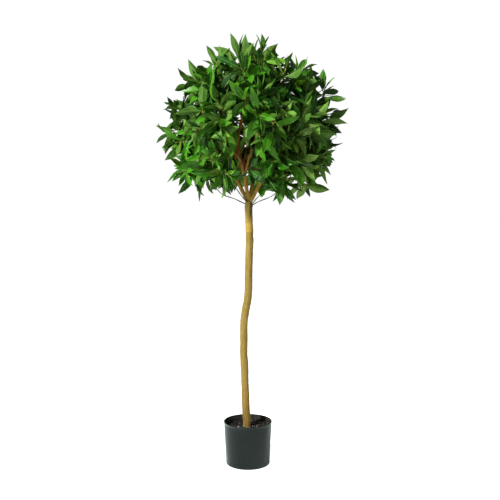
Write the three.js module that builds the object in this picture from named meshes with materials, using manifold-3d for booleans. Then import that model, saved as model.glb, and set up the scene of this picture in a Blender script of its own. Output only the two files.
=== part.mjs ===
// Artificial standard bay: a ball of bay leaves on a bare stem, set in a plain round pot.
// Sizes are millimetres and +Z is up. The front of the plant faces -Y, its left side is -X.
// The origin is the centre of the pot's flat underside.
import * as THREE from "three";
import { mergeVertices } from "three/addons/utils/BufferGeometryUtils.js";
import Module from "manifold-3d";

const wasm = await Module();
wasm.setup();

// Clear space left between neighbouring pieces
const gap = 0.3;

// The pot: a plain round shell that widens to a low lip, with a rounded edge at its foot
const pot = {
  height: 152.4,
  rimRadius: 85.1,
  footRadius: 77.6,
  standRadius: 72,
  edgeRadius: 5,
  edgeTurns: [30, 60],
  lipHeight: 4,
  lipStep: 0.6,
  lipSlope: 1,
  lipChamfer: 0.8,
  wall: 2.4,
  floor: 3,
  sides: 40,
};

// The fill's top is level in the middle, as far out as flatShare, and falls by crown at its edge
const fill = {
  belowRim: 21,
  crown: 1.5,
  flatShare: 0.6,
};

// The stem: its radii at the foot, above the root flare and below the fork, and its sideways bends
const stem = {
  foot: new THREE.Vector2(-2.5, 0),
  forkHeight: 938,
  footRadius: 14.4,
  flareHeight: 42,
  lowRadius: 13.7,
  highRadius: 13.1,
  forkRadius: 14.8,
  forkSwell: 16,
  sides: 10,
  steps: 22,
  stepGrowth: 1.1,
  bends: [
    { from: 140, to: 190, x: -3.8, y: 0 },
    { from: 140, to: 330, x: -4.3, y: 5 },
    { from: 320, to: 400, x: -3.5, y: 0 },
    { from: 500, to: 618, x: 17, y: -9 },
    { from: 670, to: 800, x: 3.4, y: 3 },
    { from: 810, to: 890, x: -3, y: 4 },
  ],
};

// The ball of leaves, and how the sprays stand out of each of its masses
const crown = {
  centre: new THREE.Vector3(12, 0, 1187),
  seed: 40,
  seedStep: 7,
  weldDistance: 1e-4,
  lumpSpread: 0.32,
  lumpCount: 13,
  lumpSink: 0.45,
  lumpHeights: [0.4, 1.2],
  lumpShake: 0.5,
  seam: 1.2,
  massDetail: 5,
  tipSpread: 0.2,
};

// One row for each mass of foliage. turn is its direction seen from above, 0 at the front and 90 at
// the right. rise is its angle above level. reach is the distance from the crown's centre to its
// furthest leaves. width and depth are its half sizes across and along that direction. lump is how far
// its sprays stand out, and each of its tips is a longer spray with a turn, a rise and a length.
const masses = [
  {
    name: "foliage_top",
    turn: 60, rise: 85, reach: 300, width: 120, depth: 72, lump: 28,
    tips: [{ turn: 270, rise: 66, length: 24 }, { turn: 90, rise: 34, length: 32 }],
  },
  {
    name: "foliage_upper_front",
    turn: 12, rise: 44, reach: 300, width: 126, depth: 72, lump: 24,
    tips: [],
  },
  {
    name: "foliage_upper_right",
    turn: 84, rise: 48, reach: 297, width: 118, depth: 72, lump: 26,
    tips: [{ turn: 90, rise: -8, length: 32 }],
  },
  {
    name: "foliage_upper_back_right",
    turn: 158, rise: 44, reach: 302, width: 126, depth: 72, lump: 26,
    tips: [],
  },
  {
    name: "foliage_upper_back_left",
    turn: 228, rise: 45, reach: 304, width: 124, depth: 72, lump: 26,
    tips: [],
  },
  {
    name: "foliage_upper_left",
    turn: 289, rise: 44, reach: 302, width: 117, depth: 72, lump: 28,
    tips: [{ turn: 275, rise: -10, length: 40 }],
  },
  {
    name: "foliage_front",
    turn: 10, rise: 3, reach: 302, width: 118, depth: 70, lump: 24,
    tips: [],
  },
  {
    name: "foliage_front_right",
    turn: 52, rise: -1, reach: 306, width: 120, depth: 72, lump: 26,
    tips: [],
  },
  {
    name: "foliage_right",
    turn: 93, rise: 6, reach: 322, width: 122, depth: 74, lump: 28,
    tips: [{ turn: 90, rise: -57, length: 46 }, { turn: 92, rise: 9, length: 10 }],
  },
  {
    name: "foliage_back_right",
    turn: 138, rise: 2, reach: 306, width: 120, depth: 72, lump: 26,
    tips: [],
  },
  {
    name: "foliage_back",
    turn: 182, rise: 4, reach: 304, width: 118, depth: 72, lump: 26,
    tips: [],
  },
  {
    name: "foliage_back_left",
    turn: 226, rise: -1, reach: 306, width: 118, depth: 72, lump: 26,
    tips: [],
  },
  {
    name: "foliage_left",
    turn: 269, rise: 0, reach: 316, width: 122, depth: 74, lump: 26,
    tips: [{ turn: 270, rise: -34, length: 40 }],
  },
  {
    name: "foliage_front_left",
    turn: 320, rise: 1, reach: 300, width: 118, depth: 70, lump: 24,
    tips: [],
  },
  {
    name: "foliage_low_front_right",
    turn: 46, rise: -42, reach: 312, width: 106, depth: 70, lump: 26,
    tips: [{ turn: 300, rise: -74, length: 32 }],
  },
  {
    name: "foliage_low_right",
    turn: 98, rise: -40, reach: 322, width: 112, depth: 74, lump: 30,
    tips: [{ turn: 90, rise: -87, length: 40 }, { turn: 88, rise: -50, length: 30 }],
  },
  {
    name: "foliage_low_back_right",
    turn: 152, rise: -42, reach: 306, width: 112, depth: 70, lump: 26,
    tips: [],
  },
  {
    name: "foliage_low_back_left",
    turn: 212, rise: -37, reach: 298, width: 108, depth: 66, lump: 24,
    tips: [],
  },
  {
    name: "foliage_low_left",
    turn: 266, rise: -38, reach: 324, width: 108, depth: 74, lump: 30,
    tips: [{ turn: 100, rise: -80, length: 34 }, { turn: 270, rise: -46, length: 28 }],
  },
  {
    name: "foliage_low_front_left",
    turn: 313, rise: -38, reach: 296, width: 104, depth: 66, lump: 22,
    tips: [{ turn: 40, rise: -70, length: 16 }],
  },
];

// One row for each limb, in the order they are fitted together. A limb starts on the stem's axis
// at a height, or part of the way along an earlier limb, and ends inside the mass it carries.
// out and up say how far it leans outwards and how far it climbs by the middle of its run, and a
// bend pushes its middle sideways.
const limbs = [
  {
    name: "bough_centre", on: 931, to: "foliage_top",
    radii: [6.8, 4], out: 0.12, up: 0.5, bend: [-44, -34],
  },
  {
    name: "bough_left", on: 922, to: "foliage_left",
    radii: [7.4, 3.8], out: 0.37, up: 0.65,
  },
  {
    name: "bough_right", on: 918, to: "foliage_right",
    radii: [8.2, 4], out: 0.3, up: 0.5,
  },
  {
    name: "bough_front_left", on: 928, to: "foliage_front_left",
    radii: [6.6, 3.8], out: 0.2, up: 0.6,
  },
  {
    name: "bough_back_right", on: 926, to: "foliage_back_right",
    radii: [6.6, 3.6], out: 0.15, up: 0.5,
  },
  {
    name: "bough_back_left", on: 930, to: "foliage_back_left",
    radii: [6.4, 3.6], out: 0.15, up: 0.5,
  },
  {
    name: "limb_front", on: ["bough_front_left", 0.3], to: "foliage_front",
    radii: [4.6, 3.2], out: 0.3, up: 0.4,
  },
  {
    name: "limb_front_right", on: ["bough_right", 0.36], to: "foliage_front_right",
    radii: [4.2, 3], out: 0.5, up: 0.55,
  },
  {
    name: "limb_upper_right", on: ["bough_right", 0.5], to: "foliage_upper_right",
    radii: [4.4, 3], out: 0.3, up: 0.5,
  },
  {
    name: "limb_upper_left", on: ["bough_left", 0.62], to: "foliage_upper_left",
    radii: [4.2, 3], out: 0.3, up: 0.5,
  },
  {
    name: "limb_upper_front", on: ["bough_front_left", 0.62], to: "foliage_upper_front",
    radii: [4.2, 3], out: 0.3, up: 0.5,
  },
  {
    name: "limb_back", on: ["bough_back_left", 0.4], to: "foliage_back",
    radii: [4.2, 3], out: 0.4, up: 0.5,
  },
  {
    name: "limb_upper_back_right", on: ["bough_back_right", 0.52], to: "foliage_upper_back_right",
    radii: [4.2, 3], out: 0.3, up: 0.5,
  },
  {
    name: "limb_upper_back_left", on: ["bough_back_left", 0.62], to: "foliage_upper_back_left",
    radii: [4.2, 3], out: 0.3, up: 0.5,
  },
  {
    name: "stem_low_left", on: 915, to: "foliage_low_left",
    radii: [3.4, 2.2], out: 0.55, up: 0.36,
  },
  {
    name: "stem_low_front_left", on: 917, to: "foliage_low_front_left",
    radii: [3, 2.2], out: 0.42, up: 0.5,
  },
  {
    name: "stem_low_front_right", on: 912, to: "foliage_low_front_right",
    radii: [3, 2.2], out: 0.42, up: 0.5,
  },
  {
    name: "stem_low_right", on: 909, to: "foliage_low_right",
    radii: [3.2, 2.2], out: 0.5, up: 0.4,
  },
  {
    name: "stem_low_back_right", on: 920, to: "foliage_low_back_right",
    radii: [3.2, 2.2], out: 0.3, up: 0.56,
  },
  {
    name: "stem_low_back_left", on: 921, to: "foliage_low_back_left",
    radii: [3.2, 2.2], out: 0.3, up: 0.56,
  },
];

const limbShape = {
  seed: 900,
  sides: 6,
  thinSides: 5,
  thinRadius: 3.5,
  steps: 6,
  endShort: 0.12,
  waver: 5,
  lowWaver: 0.4,
};

const finishes = {
  pot: { color: 0x2f3634, roughness: 0.42, metalness: 0 },
  fill: { color: 0x3a3530, roughness: 0.95, metalness: 0 },
  bark: { color: 0xa98b52, roughness: 0.8, metalness: 0 },
  bough: { color: 0x9a6a30, roughness: 0.8, metalness: 0 },
  foliage: { color: 0x2c5c1c, roughness: 0.6, metalness: 0 },
};

function seededRandom(seed) {
  let state = seed;
  return () => {
    state = (state + 0x6d2b79f5) | 0;
    let mixed = Math.imul(state ^ (state >>> 15), 1 | state);
    mixed = (mixed + Math.imul(mixed ^ (mixed >>> 7), 61 | mixed)) ^ mixed;
    return ((mixed ^ (mixed >>> 14)) >>> 0) / 4294967296;
  };
}

function named(name, geometry, finish) {
  const mesh = new THREE.Mesh(geometry, new THREE.MeshStandardMaterial(finishes[finish]));
  mesh.name = name;
  return mesh;
}

function closedGeometry(positions, faces) {
  const geometry = new THREE.BufferGeometry();
  geometry.setAttribute("position", new THREE.Float32BufferAttribute(positions, 3));
  geometry.setIndex(faces);
  geometry.computeVertexNormals();
  return geometry;
}

function toManifold(geometry) {
  const mesh = new wasm.Mesh({
    numProp: 3,
    vertProperties: new Float32Array(geometry.attributes.position.array),
    triVerts: new Uint32Array(geometry.index.array),
  });
  mesh.merge();
  return new wasm.Manifold(mesh);
}

function fromManifold(solid) {
  const mesh = solid.getMesh();
  return closedGeometry(Array.from(mesh.vertProperties), Array.from(mesh.triVerts));
}

// ---- Pot and its fill

function lathed(profile) {
  return new THREE.LatheGeometry(profile, pot.sides).rotateX(Math.PI / 2);
}

function wallRadius(height) {
  const t = height / pot.height;
  return pot.footRadius + (pot.rimRadius - pot.lipStep - pot.footRadius) * t;
}

function makePot() {
  const lipBase = pot.height - pot.lipHeight;
  const inside = (height) => wallRadius(height) - pot.wall;
  const edge = pot.edgeTurns.map((degrees) => {
    const angle = THREE.MathUtils.degToRad(degrees);
    const across = (wallRadius(pot.edgeRadius) - pot.standRadius) * Math.sin(angle);
    return new THREE.Vector2(pot.standRadius + across, pot.edgeRadius * (1 - Math.cos(angle)));
  });
  const profile = [
    new THREE.Vector2(0, 0),
    new THREE.Vector2(pot.standRadius, 0),
    ...edge,
    new THREE.Vector2(wallRadius(pot.edgeRadius), pot.edgeRadius),
    new THREE.Vector2(wallRadius(lipBase), lipBase),
    new THREE.Vector2(pot.rimRadius, lipBase + pot.lipSlope),
    new THREE.Vector2(pot.rimRadius, pot.height - pot.lipChamfer),
    new THREE.Vector2(pot.rimRadius - pot.lipChamfer, pot.height),
    new THREE.Vector2(inside(pot.height) + pot.lipChamfer, pot.height),
    new THREE.Vector2(inside(pot.height), pot.height - pot.lipChamfer),
    new THREE.Vector2(inside(pot.edgeRadius + pot.floor), pot.edgeRadius + pot.floor),
    new THREE.Vector2(pot.standRadius - pot.wall, pot.floor),
    new THREE.Vector2(0, pot.floor),
  ];
  return lathed(profile);
}

function fillTop() {
  return pot.height - fill.belowRim;
}

function makeFill() {
  const inside = (height) => wallRadius(height) - pot.wall - gap;
  const top = fillTop();
  const low = pot.edgeRadius + pot.floor;
  const profile = [
    new THREE.Vector2(0, pot.floor + gap),
    new THREE.Vector2(pot.standRadius - pot.wall - 2 * gap, pot.floor + gap),
    new THREE.Vector2(inside(low) - gap, low),
    new THREE.Vector2(inside(top - fill.crown), top - fill.crown),
    new THREE.Vector2(inside(top) * fill.flatShare, top),
    new THREE.Vector2(0, top),
  ];
  return lathed(profile);
}

// ---- Stem and limbs

function stemAxis(height) {
  const point = new THREE.Vector3(stem.foot.x, stem.foot.y, height);
  for (const bend of stem.bends) {
    const part = THREE.MathUtils.smoothstep(height, bend.from, bend.to);
    point.x += bend.x * part;
    point.y += bend.y * part;
  }
  return point;
}

function stemRadius(height) {
  const foot = fillTop() + gap;
  const climb = (height - foot) / (stem.forkHeight - foot);
  const flare = Math.exp(-(height - foot) / (stem.flareHeight / 2));
  const swell = Math.exp((height - stem.forkHeight) / (stem.forkSwell / 2));
  const plain = THREE.MathUtils.lerp(stem.lowRadius, stem.highRadius, climb);
  const added = (stem.footRadius - stem.lowRadius) * flare;
  return plain + added + (stem.forkRadius - stem.highRadius) * swell;
}

// A closed round limb through the given centres. Its rings turn smoothly with the path.
function sweep(centres, radii, sides) {
  const positions = [];
  const faces = [];
  const last = centres.length - 1;
  let side = new THREE.Vector3(1, 0, 0);
  centres.forEach((centre, i) => {
    const ahead = centres[Math.min(i + 1, last)].clone();
    const along = ahead.sub(centres[Math.max(i - 1, 0)]).normalize();
    side = side.clone().addScaledVector(along, -side.dot(along)).normalize();
    const across = new THREE.Vector3().crossVectors(along, side);
    for (let k = 0; k < sides; k += 1) {
      const angle = (2 * Math.PI * k) / sides;
      const point = centre.clone();
      point.addScaledVector(side, radii[i] * Math.cos(angle));
      point.addScaledVector(across, radii[i] * Math.sin(angle));
      positions.push(point.x, point.y, point.z);
    }
  });
  for (let i = 0; i < last; i += 1) {
    for (let k = 0; k < sides; k += 1) {
      const a = i * sides + k;
      const b = i * sides + ((k + 1) % sides);
      faces.push(a, b, b + sides, a, b + sides, a + sides);
    }
  }
  for (let k = 1; k < sides - 1; k += 1) {
    const top = last * sides;
    faces.push(0, k + 1, k);
    faces.push(top, top + k, top + k + 1);
  }
  return closedGeometry(positions, faces);
}

function makeStem(grow = 0) {
  const foot = fillTop() + gap;
  const centres = [];
  const radii = [];
  for (let i = 0; i <= stem.steps; i += 1) {
    const t = (i / stem.steps) ** stem.stepGrowth;
    const height = THREE.MathUtils.lerp(foot, stem.forkHeight + grow, t);
    centres.push(stemAxis(height));
    radii.push(stemRadius(height) + grow);
  }
  // The foot is cut off level
  centres[1].x = centres[0].x;
  centres[1].y = centres[0].y;
  return sweep(centres, radii, stem.sides);
}

function limbStart(row, paths) {
  if (Array.isArray(row.on)) {
    return paths[row.on[0]].getPoint(row.on[1]);
  }
  return stemAxis(row.on);
}

function limbPath(row, paths, centreOf, index) {
  const random = seededRandom(limbShape.seed + index);
  const start = limbStart(row, paths);
  const end = centreOf[row.to].clone().lerp(start, limbShape.endShort);
  const reach = end.clone().sub(start);
  const middle = start.clone();
  middle.x += reach.x * row.out;
  middle.y += reach.y * row.out;
  middle.z += reach.z * row.up;
  if (row.bend) {
    middle.x += row.bend[0];
    middle.y += row.bend[1];
  }
  const waver = () => (random() - 0.5) * 2 * limbShape.waver;
  const lower = start.clone().lerp(middle, 0.5);
  lower.x += waver() * limbShape.lowWaver;
  lower.y += waver() * limbShape.lowWaver;
  const upper = middle.clone().lerp(end, 0.5);
  upper.x += waver();
  upper.y += waver();
  return new THREE.CatmullRomCurve3([start, lower, middle, upper, end]);
}

function makeLimb(row, path, grow = 0) {
  const centres = path.getPoints(limbShape.steps);
  const radii = centres.map((_, i) => {
    const t = i / limbShape.steps;
    return THREE.MathUtils.lerp(row.radii[0], row.radii[1], t) + grow;
  });
  const thin = row.radii[0] <= limbShape.thinRadius;
  return sweep(centres, radii, thin ? limbShape.thinSides : limbShape.sides);
}

// ---- Masses of foliage

function direction(turn, rise) {
  const around = THREE.MathUtils.degToRad(turn);
  const above = THREE.MathUtils.degToRad(rise);
  const level = Math.cos(above);
  return new THREE.Vector3(Math.sin(around) * level, -Math.cos(around) * level, Math.sin(above));
}

function massCentre(row) {
  const along = direction(row.turn, row.rise);
  return crown.centre.clone().addScaledVector(along, row.reach - row.depth);
}

// Directions of the sprays that stand out of a mass, spread evenly by the golden angle and then shaken
function sprayDirections(random) {
  const directions = [];
  const goldenAngle = Math.PI * (3 - Math.sqrt(5));
  const shake = () => (random() - 0.5) * crown.lumpShake;
  for (let i = 0; i < crown.lumpCount; i += 1) {
    const level = 1 - (2 * (i + 0.5)) / crown.lumpCount;
    const around = i * goldenAngle + random();
    const ring = Math.sqrt(1 - level * level);
    const point = new THREE.Vector3(Math.cos(around) * ring, Math.sin(around) * ring, level);
    point.x += shake();
    point.y += shake();
    point.z += shake();
    const height = THREE.MathUtils.lerp(...crown.lumpHeights, random());
    directions.push({ point: point.normalize(), height });
  }
  return directions;
}

// A mass is star-shaped about its centre: an egg with sprays, cut back at the seam to each neighbour
function massRadius(row, toward, sprays, seams) {
  const outward = direction(row.turn, row.rise).dot(toward);
  const across = Math.sqrt(Math.max(0, 1 - outward * outward));
  let radius = 1 / Math.hypot(outward / row.depth, across / row.width);
  radius -= row.lump * crown.lumpSink;
  for (const spray of sprays) {
    const away = spray.point.angleTo(toward);
    radius += row.lump * spray.height * Math.exp(-((away / crown.lumpSpread) ** 2));
  }
  for (const tip of row.tips) {
    const away = direction(tip.turn, tip.rise).angleTo(toward);
    radius += tip.length * Math.exp(-((away / crown.tipSpread) ** 2));
  }
  for (const seam of seams) {
    const facing = seam.normal.dot(toward);
    if (facing > 0) {
      radius = Math.min(radius, seam.distance / facing);
    }
  }
  return radius;
}

function makeMass(row, index, centreOf, grow = 0) {
  const random = seededRandom(crown.seed + crown.seedStep * index);
  const sprays = sprayDirections(random);
  const centre = centreOf[row.name];
  const seams = Object.entries(centreOf)
    .filter(([name]) => name !== row.name)
    .map(([, other]) => {
      const normal = other.clone().sub(centre);
      const distance = normal.length() / 2 - crown.seam / 2;
      return { normal: normal.normalize(), distance };
    });
  const ball = new THREE.OctahedronGeometry(1, crown.massDetail);
  ball.deleteAttribute("normal");
  ball.deleteAttribute("uv");
  const geometry = mergeVertices(ball, crown.weldDistance);
  const points = geometry.attributes.position;
  const toward = new THREE.Vector3();
  for (let i = 0; i < points.count; i += 1) {
    toward.fromBufferAttribute(points, i).normalize();
    const radius = massRadius(row, toward, sprays, seams) + grow;
    points.setXYZ(
      i,
      centre.x + toward.x * radius,
      centre.y + toward.y * radius,
      centre.z + toward.z * radius,
    );
  }
  geometry.computeVertexNormals();
  return geometry;
}

// ---- The whole plant

function makeCrown(group) {
  const centreOf = Object.fromEntries(masses.map((row) => [row.name, massCentre(row)]));
  const grown = {};
  masses.forEach((row, i) => {
    group.add(named(row.name, makeMass(row, i, centreOf), "foliage"));
    grown[row.name] = toManifold(makeMass(row, i, centreOf, 2 * gap));
  });
  return { centreOf, grown };
}

function makeLimbs(group, centreOf, grownMasses) {
  const paths = {};
  let taken = toManifold(makeStem(gap));
  limbs.forEach((row, i) => {
    const path = limbPath(row, paths, centreOf, i);
    paths[row.name] = path;
    const solid = toManifold(makeLimb(row, path)).subtract(taken).subtract(grownMasses[row.to]);
    group.add(named(row.name, fromManifold(solid), "bough"));
    taken = taken.add(toManifold(makeLimb(row, path, gap)));
  });
}

const plant = new THREE.Group();
plant.name = "standard_bay";
plant.add(named("pot", makePot(), "pot"));
plant.add(named("fill", makeFill(), "fill"));
plant.add(named("trunk", makeStem(), "bark"));
const { centreOf, grown } = makeCrown(plant);
makeLimbs(plant, centreOf, grown);

export default plant;
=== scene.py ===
import math

import bpy
import numpy as np
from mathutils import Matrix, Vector
from mathutils.bvhtree import BVHTree


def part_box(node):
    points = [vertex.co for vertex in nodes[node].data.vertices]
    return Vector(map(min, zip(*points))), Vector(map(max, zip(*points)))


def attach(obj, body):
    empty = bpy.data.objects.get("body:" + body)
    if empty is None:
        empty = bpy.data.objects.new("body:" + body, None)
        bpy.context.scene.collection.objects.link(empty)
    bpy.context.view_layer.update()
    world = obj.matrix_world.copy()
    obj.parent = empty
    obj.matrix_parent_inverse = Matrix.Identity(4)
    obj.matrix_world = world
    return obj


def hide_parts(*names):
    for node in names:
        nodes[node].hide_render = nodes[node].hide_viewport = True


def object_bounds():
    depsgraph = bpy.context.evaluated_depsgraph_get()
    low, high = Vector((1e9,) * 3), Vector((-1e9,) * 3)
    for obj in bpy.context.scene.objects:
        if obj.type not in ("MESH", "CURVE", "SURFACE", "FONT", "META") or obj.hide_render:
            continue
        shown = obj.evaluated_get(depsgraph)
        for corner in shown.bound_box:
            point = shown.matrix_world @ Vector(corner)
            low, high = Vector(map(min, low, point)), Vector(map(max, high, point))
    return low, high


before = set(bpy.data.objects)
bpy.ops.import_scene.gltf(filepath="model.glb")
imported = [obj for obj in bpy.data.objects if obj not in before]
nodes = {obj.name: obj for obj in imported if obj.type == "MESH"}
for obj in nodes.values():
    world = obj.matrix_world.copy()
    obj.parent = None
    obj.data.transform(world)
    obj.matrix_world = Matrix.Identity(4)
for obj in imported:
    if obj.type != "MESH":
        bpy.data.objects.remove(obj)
cadLow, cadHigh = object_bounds()
scene = bpy.context.scene
print("frame loaded:", len(nodes), "nodes")


# short forms for shader nodes

def addNode(tree, kind, inputs=None, **settings):
    node = tree.nodes.new(kind)
    for name, value in settings.items():
        setattr(node, name, value)
    joinAll(tree, node.inputs, inputs or {})
    return node


def join(tree, value, socket):
    if isinstance(value, bpy.types.NodeSocket):
        tree.links.new(value, socket)
    elif isinstance(value, tuple) and socket.type == "RGBA":
        socket.default_value = (*value, 1)
    else:
        socket.default_value = value


def joinAll(tree, sockets, values):
    for name, value in values.items():
        join(tree, value, sockets[name])


def mathNode(tree, operation, first, second=0.0):
    return addNode(tree, "ShaderNodeMath", {0: first, 1: second}, operation=operation).outputs[0]


def times(tree, first, second):
    return mathNode(tree, "MULTIPLY", first, second)


def mixColor(tree, factor, first, second):
    return addNode(tree, "ShaderNodeMix", {0: factor, 6: first, 7: second}, data_type="RGBA").outputs[2]


def softStep(tree, value, low, high):
    return addNode(tree, "ShaderNodeMapRange", {"Value": value, "From Min": low, "From Max": high},
                   interpolation_type="SMOOTHSTEP").outputs["Result"]


def between(tree, share, low, high):
    limits = {"Value": share, "To Min": low, "To Max": high}
    return addNode(tree, "ShaderNodeMapRange", limits).outputs["Result"]


def xyzOf(tree, vector):
    return addNode(tree, "ShaderNodeSeparateXYZ", {0: vector}).outputs


def seenByCamera(tree):
    return tree.nodes.new("ShaderNodeLightPath").outputs["Is Camera Ray"]


def shaded(color, share):
    return tuple(c * share for c in color)


def noise(tree, vector, scale, detail, roughness=0.5):
    return addNode(tree, "ShaderNodeTexNoise", {"Vector": vector, "Scale": scale, "Detail": detail,
                                                "Roughness": roughness}).outputs["Fac"]


def stretched(tree, vector, scale):
    return addNode(tree, "ShaderNodeVectorMath", {0: vector, 1: scale}, operation="MULTIPLY").outputs[0]


def newGroup(name, inputs, outputs):
    group = bpy.data.node_groups.new(name, "ShaderNodeTree")
    for label, value in inputs.items():
        kind = "NodeSocketVector" if value is None else "NodeSocketFloat"
        socket = group.interface.new_socket(label, in_out="INPUT", socket_type=kind)
        if value is not None:
            socket.default_value = value
    for label in outputs:
        group.interface.new_socket(label, in_out="OUTPUT", socket_type="NodeSocketFloat")
    return group, group.nodes.new("NodeGroupInput").outputs, group.nodes.new("NodeGroupOutput").inputs


def newMaterial(name, roughness, specular, color=(0.5, 0.5, 0.5)):
    material = bpy.data.materials.new(name)
    material.use_nodes = True
    tree = material.node_tree
    shader = tree.nodes["Principled BSDF"]
    joinAll(tree, shader.inputs, {"Base Color": color, "Roughness": roughness,
                                  "Specular IOR Level": specular})
    return material, tree, shader


def placeGroup(tree, group, vector, **values):
    return addNode(tree, "ShaderNodeGroup", {"Vector": vector, **values}, node_tree=group).outputs


def coat(tree, shader, tone, height, strength, distance):
    # the colour and the relief of a material
    join(tree, tone, shader.inputs["Base Color"])
    bump = addNode(tree, "ShaderNodeBump", {"Strength": strength, "Distance": distance, "Height": height})
    join(tree, bump.outputs["Normal"], shader.inputs["Normal"])


def ownPlace(tree):
    return tree.nodes.new("ShaderNodeTexCoord").outputs["Object"]


def addObject(name, data):
    thing = bpy.data.objects.new(name, data)
    scene.collection.objects.link(thing)
    return thing


# where the plant is seen from

cameraSetting = {
    "aside": 0.0076,      # metres to the right of the pot's centre
    "distance": 2.6,
    "height": 0.930,
    "tiltDown": 3.77,     # degrees
    "lens": 53.7,
}

cameraPlace = (cameraSetting["aside"], -cameraSetting["distance"], cameraSetting["height"])

studio = {
    "backdrop": 1.02,     # what the camera sees behind the plant
    "domeHigh": 0.30,     # light from overhead and from level
    "domeLow": 0.165,
    "lamps": {            # place, size and power
        "key_lamp": ((-2.3, -2.2, 2.9), 0.44, 292.0),
        "fill_lamp": ((-0.7, -2.8, 0.5), 1.2, 10.0),
    },
    "aimHeight": 0.75,    # share of the plant's height that these two look at
    "lowPlace": (2.5, -0.9, 0.25),       # a narrow lamp for the stem and the pot, kept off the crown
    "lowSize": 0.5,
    "lowPower": 75.0,
    "lowCone": 27,        # degrees
    "lowBlend": 0.5,      # how softly its light ends
    "lowAim": 0.33,       # metres above the floor
    "floorSize": 60.0,
    "floorDrop": 0.0004,
    "floorColor": (0.90, 0.90, 0.895),
    "floorGlow": 0.94,    # keeps the floor as pale as the backdrop, for the camera alone
}


def makeCamera():
    data = bpy.data.cameras.new("camera")
    data.lens = cameraSetting["lens"]
    data.sensor_width = 36
    data.clip_end = 2 * studio["floorSize"]
    camera = addObject("camera", data)
    camera.location = cameraPlace
    camera.rotation_euler = (math.radians(90 - cameraSetting["tiltDown"]), 0, 0)
    scene.camera = camera


def hangLamp(name, data, place, aimHeight):
    lamp = addObject(name, data)
    lamp.location = place
    aim = Vector((0, 0, aimHeight)) - Vector(place)
    lamp.rotation_euler = aim.to_track_quat("-Z", "Y").to_euler()
    lamp.visible_camera = False


def makeLamp(name, place, size, power):
    data = bpy.data.lights.new(name, "AREA")
    data.shape = "DISK"
    data.size = size
    data.energy = power
    hangLamp(name, data, place, studio["aimHeight"] * cadHigh.z)


def makeLowLamp():
    data = bpy.data.lights.new("low_lamp", "SPOT")
    data.shadow_soft_size = studio["lowSize"] / 2
    data.spot_size = math.radians(studio["lowCone"])
    data.spot_blend = studio["lowBlend"]
    data.energy = studio["lowPower"]
    hangLamp("low_lamp", data, studio["lowPlace"], studio["lowAim"])


def makeStudio():
    world = bpy.data.worlds.new("studio")
    world.use_nodes = True
    tree = world.node_tree
    direction = tree.nodes.new("ShaderNodeTexCoord").outputs["Generated"]
    dome = between(tree, xyzOf(tree, direction)["Z"], studio["domeLow"], studio["domeHigh"])
    strength = addNode(tree, "ShaderNodeMix", {0: seenByCamera(tree), 2: dome, 3: studio["backdrop"]})
    joinAll(tree, tree.nodes["Background"].inputs, {"Color": (1, 1, 1), "Strength": strength.outputs[0]})
    scene.world = world
    for name, (place, size, power) in studio["lamps"].items():
        makeLamp(name, place, size, power)
    makeLowLamp()
    scene.view_settings.view_transform = "Standard"


makeCamera()
makeStudio()
print("camera and lamps set")


# surface effects that several materials share

def makeBarkGrain():
    group, start, end = newGroup(
        "barkGrain",
        {"Vector": None, "Grain": 180.0, "Patch": 14.0, "Mark": 120.0},
        ["Streaks", "Patches", "Marks", "Height"],
    )
    place = start["Vector"]
    upward = stretched(group, place, (1, 1, 0.09))      # fibres run up the stem
    across = stretched(group, place, (0.55, 0.55, 1.3))      # short marks lie across it
    fibre = noise(group, upward, start["Grain"], 5.0, 0.62)
    patch = noise(group, place, start["Patch"], 3.0, 0.55)
    spread = noise(group, place, 60.0, 2.0)
    mark = addNode(group, "ShaderNodeTexVoronoi", {"Vector": across, "Scale": start["Mark"]})
    marks = times(group, softStep(group, mark.outputs["Distance"], 0.36, 0.10),
                  softStep(group, spread, 0.50, 0.62))
    joinAll(group, end, {
        "Streaks": softStep(group, fibre, 0.36, 0.66),
        "Patches": softStep(group, patch, 0.38, 0.62),
        "Marks": marks,
        "Height": mathNode(group, "SUBTRACT", fibre, times(group, marks, 0.35)),
    })
    return group


def makeLeafVeins():
    group, start, end = newGroup(
        "leafVeins",
        {"Vector": None, "Pairs": 9.0, "Slant": 2.6},
        ["Veins", "Blotch", "Height"],
    )
    split = xyzOf(group, start["Vector"])
    across = mathNode(group, "ABSOLUTE", mathNode(group, "SUBTRACT", split["Y"], 0.5))
    rows = times(group, split["X"], start["Pairs"])
    place = mathNode(group, "FRACT", mathNode(group, "SUBTRACT", rows, times(group, across, start["Slant"])))
    ridge = mathNode(group, "ABSOLUTE", mathNode(group, "SUBTRACT", place, 0.5))
    veins = softStep(group, ridge, 0.10, 0.0)
    blotch = noise(group, start["Vector"], 5.0, 4.0, 0.6)
    joinAll(group, end, {
        "Veins": veins,
        "Blotch": softStep(group, blotch, 0.35, 0.65),
        "Height": mathNode(group, "SUBTRACT", times(group, blotch, 0.8), veins),
    })
    return group


def makeSpeckle():
    group, start, end = newGroup("speckle", {"Vector": None, "Fine": 900.0, "Broad": 9.0}, ["Grain", "Cloud"])
    cloud = noise(group, start["Vector"], start["Broad"], 4.0, 0.6)
    joinAll(group, end, {
        "Grain": noise(group, start["Vector"], start["Fine"], 2.0),
        "Cloud": softStep(group, cloud, 0.3, 0.7),
    })
    return group


barkGrain = makeBarkGrain()
leafVeins = makeLeafVeins()
speckle = makeSpeckle()


# help with meshes: a shape is a dictionary of points, quads and tris with their slots and leaf places

def softNoise(points, seed=0.0):
    # smooth random values from -1 to 1, about one hill for each unit of length
    points = np.asarray(points, dtype=float) + seed * 17.31
    cell = np.floor(points)
    part = points - cell
    part = part * part * (3 - 2 * part)
    total = np.zeros(points.shape[:-1])
    for corner in np.ndindex(2, 2, 2):
        value = np.sin((cell + corner) @ np.array([127.1, 311.7, 74.7])) * 43758.5453
        value = (value - np.floor(value)) * 2 - 1
        total += np.prod(np.where(corner, part, 1 - part), axis=-1) * value
    return total


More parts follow.
